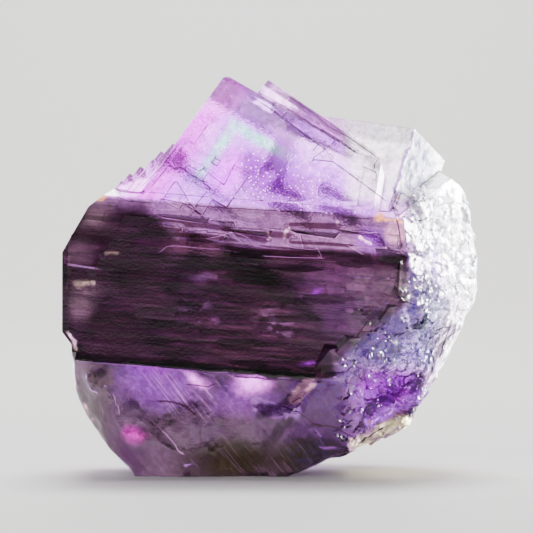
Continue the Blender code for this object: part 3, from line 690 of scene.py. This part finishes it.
# what the material reads besides the tint, each from 0 to 1: how rough it is and how clear, and where
# its streaks, specks, scratches, sugary grain, folds and crumpled lines show
clear = 0.88 - 0.38 * np.clip(dark + lower * 0.5, 0, 1) - 0.38 * np.maximum(upperRight * 0.8, secondCube)
clear = clear * (1 - 0.45 * ledgeEnd) * (1 - 0.7 * chipped) * (1 - 0.6 * dimStep)
crumpled = (upperRight * (1 - 0.75 * smooth(seenX, 22.5, 26)) + 0.13 * below * smooth(seenZ, 7, 12)
            + 0.12 * domed + 0.1 * block)
fields = dict(
    rough=np.clip(rough + 0.6 * dark, 0, 1),
    clear=clear,
    streak=np.clip(dark * (1 - 0.5 * domed) + 0.35 * ledgeFace, 0, 1),
    sparkle=cubeFace * (0.08 + 0.34 * patch((4.2, 41.9), (13, 7), 0.3)),
    scratched=lower * np.clip(patch((-12.5, 12.5), (9, 5), 0.2, -20) + 0.15, 0, 1) * facing,
    sugar=cubeFace * (1 - smooth(fromLeft, 6, 14)),
    foldOut=smooth(ridge, 0.12, 0.6) * facing * (1 - 0.7 * rough) * (1 - 0.8 * dark),
    foldIn=np.maximum(smooth(crease, 0.12, 0.6) * facing * (1 - 0.5 * rough) * (1 - 0.85 * block),
                      smooth(ridge, 0.3, 0.9) * secondCube * 0.8),
    hammered=np.clip(crumpled, 0, 1) * facing,
)
# and the distances to the drawn lines in line widths, which the material needs no further than 20
lineReach = 20
for name, side, far in (("dark", darkSide, darkFar), ("pale", paleSide, paleFar)):
    fields[name + "Side"] = np.clip(side, -lineReach, lineReach)
    fields[name + "Far"] = np.clip(far, 0, lineReach) + lineReach * (1 - facing)

mesh = bpy.data.meshes.new("fluoriteCluster")
mesh.from_pydata(points, [], triangles)
mesh.polygons.foreach_set("use_smooth", np.ones(len(triangles), dtype=bool))
mesh.set_sharp_from_angle(angle=skin["sharpAngle"])
paint = mesh.attributes.new("zoneTint", "FLOAT_COLOR", "POINT")
paint.data.foreach_set("color", np.concatenate([colour, np.ones((len(points), 1))], axis=1).ravel())
for name, values in fields.items():
    layer = mesh.attributes.new(name, "FLOAT", "POINT")
    layer.data.foreach_set("value", values.astype(np.float32))
mesh.update()
cluster = bpy.data.objects.new("fluoriteCluster", mesh)
bpy.context.scene.collection.objects.link(cluster)
print("zones tinted")


def addNode(tree, kind, settings=None, **links):
    # one node, its settings and its inputs: a socket is linked and anything else is set; an input is
    # named with _ for a space, or by i and its number
    made = tree.nodes.new(kind)
    for name, value in (settings or {}).items():
        setattr(made, name, value)
    for name, value in links.items():
        key = int(name[1:]) if name[0] == "i" and name[1:].isdigit() else name.replace("_", " ")
        socket = made.inputs[key]
        if isinstance(value, bpy.types.NodeSocket):
            tree.links.new(value, socket)
        else:
            socket.default_value = value
    return made


# Natural fluorite. Its faces grew smooth, so they are glassy and light goes through them, tinted by
# zones; the parts that broke are duller, and their small hollows glitter instead of mirroring
clearFluorite = dict(
    ior=1.434, coat=0.1, coatRough=0.08, absorb="#DC6AE0", density=26.0,
    glassy=0.14, broken=0.26,                                # roughness
    darkLine="#220E14", paleLine="#D8B8D0", sparkle="#FFFFFF", streakLight="#4C3040",
    streakDark="#140A10", fracture="#34346E",
    # cells per metre, and beside them the size of one
    mottle=1100.0,                                           # 0.9 mm
    grains=3200.0,                                           # 0.3 mm
    specks=3000.0,                                           # 0.33 mm, and few cells hold a speck
    fine=2600.0,                                             # 0.4 mm
    crumples=((420.0, 0.035), (900.0, 0.05)),                # 2.4 and 1.1 mm, with their lines' width
    # length, depth and height of one cell in metres
    sheets=(0.006, 0.05, 0.0011), growthLines=(0.012, 0.010, 0.0009),
    lightStreaks=(0.007, 0.003, 0.0007), darkStreaks=(0.009, 0.006, 0.0005),
    striae=(0.005, 0.003, 0.0002), striaeTurn=math.radians(52),
)

material = bpy.data.materials.new("clearFluorite")
material.use_nodes = True
tree = material.node_tree
shader = tree.nodes["Principled BSDF"]
output = tree.nodes["Material Output"]
coordinates = addNode(tree, "ShaderNodeTexCoord").outputs["Object"]
hue = {name: (*linear(value), 1) for name, value in clearFluorite.items() if isinstance(value, str)}
field = {name: addNode(tree, "ShaderNodeAttribute", {"attribute_name": name}).outputs["Fac"]
         for name in fields}
mixing = {"data_type": "RGBA"}
multiplying = {"data_type": "RGBA", "blend_type": "MULTIPLY"}
times = {"operation": "MULTIPLY"}
absolute = {"operation": "ABSOLUTE"}
eased = {"interpolation_type": "SMOOTHSTEP"}
stretched = {"vector_type": "TEXTURE"}      # which gives a pattern cells as large as Scale
alongLedge = (0, ledgeTurn, 0)

# mottling about 1 mm across, and finer sugary grain near the left edge of the cube
base = addNode(tree, "ShaderNodeAttribute", {"attribute_name": "zoneTint"}).outputs["Color"]
mottle = addNode(tree, "ShaderNodeTexNoise", None, Vector=coordinates, Scale=clearFluorite["mottle"],
                 Detail=8.0, Roughness=0.75)
mottle = addNode(tree, "ShaderNodeMapRange", None, Value=mottle.outputs[0], i1=0.3, i2=0.7, i3=0.55,
                 i4=1.45).outputs[0]
base = addNode(tree, "ShaderNodeMix", multiplying, i0=1.0, i6=base, i7=mottle).outputs[2]
grains = addNode(tree, "ShaderNodeTexNoise", None, Vector=coordinates, Scale=clearFluorite["grains"],
                 Detail=3.0, Roughness=0.7)
grains = addNode(tree, "ShaderNodeMapRange", eased, Value=grains.outputs[0], i1=0.52, i2=0.72, i4=0.6)
grains = addNode(tree, "ShaderNodeMath", times, i0=grains.outputs[0], i1=field["sugar"]).outputs[0]
base = addNode(tree, "ShaderNodeMix", mixing, i0=grains, i6=base, i7=hue["paleLine"]).outputs[2]

# the ledge is a stack of cleavage sheets: flat cells, each a little lighter or darker
run = addNode(tree, "ShaderNodeMapping", stretched, Vector=coordinates, Rotation=alongLedge,
              Scale=clearFluorite["sheets"])
sheets = addNode(tree, "ShaderNodeTexVoronoi", {"distance": "CHEBYCHEV"}, Vector=run.outputs[0], Scale=1.0)
sheets = addNode(tree, "ShaderNodeSeparateColor", None, i0=sheets.outputs["Color"]).outputs[0]
sheets = addNode(tree, "ShaderNodeMapRange", None, Value=sheets, i3=0.4, i4=2.0).outputs[0]
base = addNode(tree, "ShaderNodeMix", multiplying, i0=field["streak"], i6=base, i7=sheets).outputs[2]

# streaks along the ledge
for size, start, end, name in ((clearFluorite["lightStreaks"], 0.52, 0.75, "streakLight"),
                               (clearFluorite["darkStreaks"], 0.50, 0.80, "streakDark")):
    run = addNode(tree, "ShaderNodeMapping", stretched, Vector=coordinates, Rotation=alongLedge, Scale=size)
    streak = addNode(tree, "ShaderNodeTexNoise", None, Vector=run.outputs[0], Scale=1.0, Detail=4.0)
    streak = addNode(tree, "ShaderNodeMapRange", eased, Value=streak.outputs[0], i1=start, i2=end, i4=0.4)
    streak = addNode(tree, "ShaderNodeMath", times, i0=streak.outputs[0], i1=field["streak"])
    base = addNode(tree, "ShaderNodeMix", mixing, i0=streak.outputs[0], i6=base, i7=hue[name]).outputs[2]

# fine slanting striae in the lower part
run = addNode(tree, "ShaderNodeMapping", stretched, Vector=coordinates,
              Rotation=(0, clearFluorite["striaeTurn"], 0), Scale=clearFluorite["striae"])
striae = addNode(tree, "ShaderNodeTexNoise", None, Vector=run.outputs[0], Scale=1.0, Detail=3.0)
striae = addNode(tree, "ShaderNodeMapRange", eased, Value=striae.outputs[0], i1=0.5, i2=0.75, i4=0.22)
striae = addNode(tree, "ShaderNodeMath", times, i0=striae.outputs[0], i1=field["scratched"]).outputs[0]
base = addNode(tree, "ShaderNodeMix", mixing, i0=striae, i6=base, i7=hue["paleLine"]).outputs[2]

# crumpled look of the broken right side: wandering lines where a noise crosses its mean
for scale, width in clearFluorite["crumples"]:
    crumple = addNode(tree, "ShaderNodeTexNoise", None, Vector=coordinates, Scale=scale, Detail=3.0,
                      Distortion=1.2)
    crumple = addNode(tree, "ShaderNodeMath", {"operation": "SUBTRACT"}, i0=crumple.outputs[0], i1=0.5)
    crumple = addNode(tree, "ShaderNodeMath", absolute, i0=crumple.outputs[0])
    crumple = addNode(tree, "ShaderNodeMapRange", eased, Value=crumple.outputs[0], i1=width, i2=0.0, i4=0.8)
    crumple = addNode(tree, "ShaderNodeMath", times, i0=crumple.outputs[0], i1=field["hammered"]).outputs[0]
    base = addNode(tree, "ShaderNodeMix", mixing, i0=crumple, i6=base, i7=hue["fracture"]).outputs[2]

# folds of the surface and drawn lines, each a tenth of a millimetre or so wide: creases painted dark as
# shade, ridges painted pale as highlights
for name, start, end, strength, shade in (("foldIn", 0.45, 0.95, 1.0, "darkLine"),
                                          ("foldOut", 0.6, 1.0, 0.45, "paleLine")):
    fold = addNode(tree, "ShaderNodeMapRange", eased, Value=field[name], i1=start, i2=end, i4=strength)
    fold = fold.outputs[0]
    base = addNode(tree, "ShaderNodeMix", mixing, i0=fold, i6=base, i7=hue[shade]).outputs[2]
for side, far, name, strength in (("darkSide", "darkFar", "darkLine", 0.85),
                                  ("paleSide", "paleFar", "paleLine", 0.2)):
    near = addNode(tree, "ShaderNodeMath", absolute, i0=field[side]).outputs[0]
    near = addNode(tree, "ShaderNodeMapRange", eased, Value=near, i1=1.3, i2=0.5).outputs[0]
    within = addNode(tree, "ShaderNodeMapRange", eased, Value=field[far], i1=6.0, i2=4.5, i4=strength)
    line = addNode(tree, "ShaderNodeMath", times, i0=near, i1=within.outputs[0]).outputs[0]
    base = addNode(tree, "ShaderNodeMix", mixing, i0=line, i6=base, i7=hue[name]).outputs[2]

# bright specks under the cube face, painted glints, drawn about 0.13 mm across so that they show
specks = addNode(tree, "ShaderNodeTexVoronoi", None, Vector=coordinates, Scale=clearFluorite["specks"])
chosen = addNode(tree, "ShaderNodeSeparateColor", None, i0=specks.outputs["Color"])
chosen = addNode(tree, "ShaderNodeMath", {"operation": "LESS_THAN"}, i0=chosen.outputs[0],
                 i1=field["sparkle"])
specks = addNode(tree, "ShaderNodeMapRange", eased, Value=specks.outputs["Distance"], i1=0.34, i2=0.20)
specks = addNode(tree, "ShaderNodeMath", times, i0=specks.outputs[0], i1=chosen.outputs[0]).outputs[0]
base = addNode(tree, "ShaderNodeMix", mixing, i0=specks, i6=base, i7=hue["sparkle"]).outputs[2]

# light crosses a front and a back, and each takes only the root of the base colour, so it is squared
base = addNode(tree, "ShaderNodeMix", multiplying, i0=1.0, i6=base, i7=base).outputs[2]
tree.links.new(base, shader.inputs["Base Color"])

dull = addNode(tree, "ShaderNodeMapRange", None, Value=field["rough"], i3=clearFluorite["glassy"],
               i4=clearFluorite["broken"])
tree.links.new(dull.outputs[0], shader.inputs["Roughness"])
tree.links.new(field["clear"], shader.inputs["Transmission Weight"])
for socket, name in (("IOR", "ior"), ("Coat Weight", "coat"), ("Coat Roughness", "coatRough"),
                     ("Coat IOR", "ior")):
    shader.inputs[socket].default_value = clearFluorite[name]
absorb = addNode(tree, "ShaderNodeVolumeAbsorption", None, Color=hue["absorb"],
                 Density=clearFluorite["density"])
tree.links.new(absorb.outputs[0], output.inputs["Volume"])

# fine grain all over, and the growth lines of the ledge, as bump of a tenth of a millimetre
fine = addNode(tree, "ShaderNodeTexNoise", None, Vector=coordinates, Scale=clearFluorite["fine"], Detail=4.0)
run = addNode(tree, "ShaderNodeMapping", stretched, Vector=coordinates, Rotation=alongLedge,
              Scale=clearFluorite["growthLines"])
lines = addNode(tree, "ShaderNodeTexNoise", None, Vector=run.outputs[0], Scale=1.0, Detail=5.0)
lines = addNode(tree, "ShaderNodeMath", times, i0=lines.outputs[0], i1=field["streak"])
lines = addNode(tree, "ShaderNodeMath", times, i0=lines.outputs[0], i1=1.2)
relief = addNode(tree, "ShaderNodeMath", None, i0=fine.outputs[0], i1=lines.outputs[0])
bump = addNode(tree, "ShaderNodeBump", None, Height=relief.outputs[0], Strength=0.5, Distance=0.1 * mm)
tree.links.new(bump.outputs[0], shader.inputs["Normal"])
mesh.materials.append(material)
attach(cluster, "root")
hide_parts("fluorite")
print("fluorite finished")


def plainMaterial(name, hexColour, roughness):
    # one even colour and one roughness, as matt studio paper has
    made = bpy.data.materials.new(name)
    made.use_nodes = True
    surface = made.node_tree.nodes["Principled BSDF"]
    surface.inputs["Base Color"].default_value = (*linear(hexColour), 1)
    surface.inputs["Roughness"].default_value = roughness
    return made


def sweep():
    # a floor that rises into a backdrop, in metres: flat, a quarter circle of radius bend, upright
    width, near, reach, bend, tall, steps = 1.6, -0.9, 0.45, 0.25, 0.9, 24
    turn = np.linspace(0, math.pi / 2, steps)
    profile = np.concatenate([
        [(near, 0.0)],
        np.stack([reach + bend * np.sin(turn), bend * (1 - np.cos(turn))], axis=1),
        [(reach + bend, tall)],
    ])
    rows = [[(side * width / 2, depth, height) for depth, height in profile] for side in (-1, 1)]
    n = len(profile)
    faces = [(i, n + i, n + i + 1, i + 1) for i in range(n - 1)]
    mesh = bpy.data.meshes.new("sweep")
    mesh.from_pydata(np.array(rows).reshape(-1, 3), [], faces)
    mesh.polygons.foreach_set("use_smooth", np.ones(len(faces), dtype=bool))
    made = bpy.data.objects.new("sweep", mesh)
    bpy.context.scene.collection.objects.link(made)
    mesh.materials.append(plainMaterial("paperSweep", studio["paper"], 0.6))
    return made


sweep()

# Lamps: metres and watts. A size is a disc's width, or a panel's width and height. The two panels
# shine through the crystal alone and aren't seen: a clear crystal needs light behind it
lamps = dict(
    paperLight=dict(place=(0.0, 0.25, 0.75), aim=(0, 0.70, 0.15), size=0.40, power=12.5),
    panelBehind=dict(place=(0.0, 0.10, 0.035), aim=(0, 0, 0.035), size=(0.15, 0.13), glow=9.0,
                     onlyFor=cluster),
    panelRight=dict(place=(0.20, 0.01, 0.07), aim=(0.01, 0, 0.03), size=0.12, glow=210.0,
                    onlyFor=cluster),
    keyLight=dict(place=(-0.45, -0.30, 0.45), aim=(0, 0, 0.03), size=0.25, power=2.0),
    topLight=dict(place=(0.0, 0.05, 0.50), aim=(0, 0, 0.03), size=0.30, power=3.0),
)


def softLight(name, place, aim, size, power=None, glow=None, onlyFor=None):
    # an area lamp: where its glow is given, its power is the glow times its area and pi
    lamp = bpy.data.lights.new(name, "AREA")
    if isinstance(size, tuple):
        lamp.shape = "RECTANGLE"
        lamp.size, lamp.size_y = size
        area = size[0] * size[1]
    else:
        lamp.shape = "DISK"
        lamp.size = size
        area = math.pi * size ** 2 / 4
    lamp.energy = power or glow * math.pi * area
    made = bpy.data.objects.new(name, lamp)
    made.location = place
    made.rotation_euler = (Vector(place) - Vector(aim)).to_track_quat("Z", "Y").to_euler()
    bpy.context.scene.collection.objects.link(made)
    if onlyFor is not None:
        lit = bpy.data.collections.new(name + "Lights")
        lit.objects.link(onlyFor)
        made.light_linking.receiver_collection = lit
        made.visible_camera = False


for name, lamp in lamps.items():
    softLight(name, **lamp)

world = bpy.data.worlds.new("studioAir")
bpy.context.scene.world = world
world.use_nodes = True
world.node_tree.nodes["Background"].inputs["Color"].default_value = (1, 1, 1, 1)
world.node_tree.nodes["Background"].inputs["Strength"].default_value = studio["air"]

camera = bpy.data.cameras.new("camera")
camera.lens = studio["lens"]
camera.sensor_width = studio["sensor"]
camera.clip_start = studio["nearest"]
cameraObject = bpy.data.objects.new("camera", camera)
cameraObject.location = Vector(studio["target"]) * mm + Vector(towardsCamera) * (cameraDistance * mm)
cameraObject.rotation_euler = Vector(towardsCamera).to_track_quat("Z", "Y").to_euler()
bpy.context.scene.collection.objects.link(cameraObject)
bpy.context.scene.camera = cameraObject
print("studio set up")
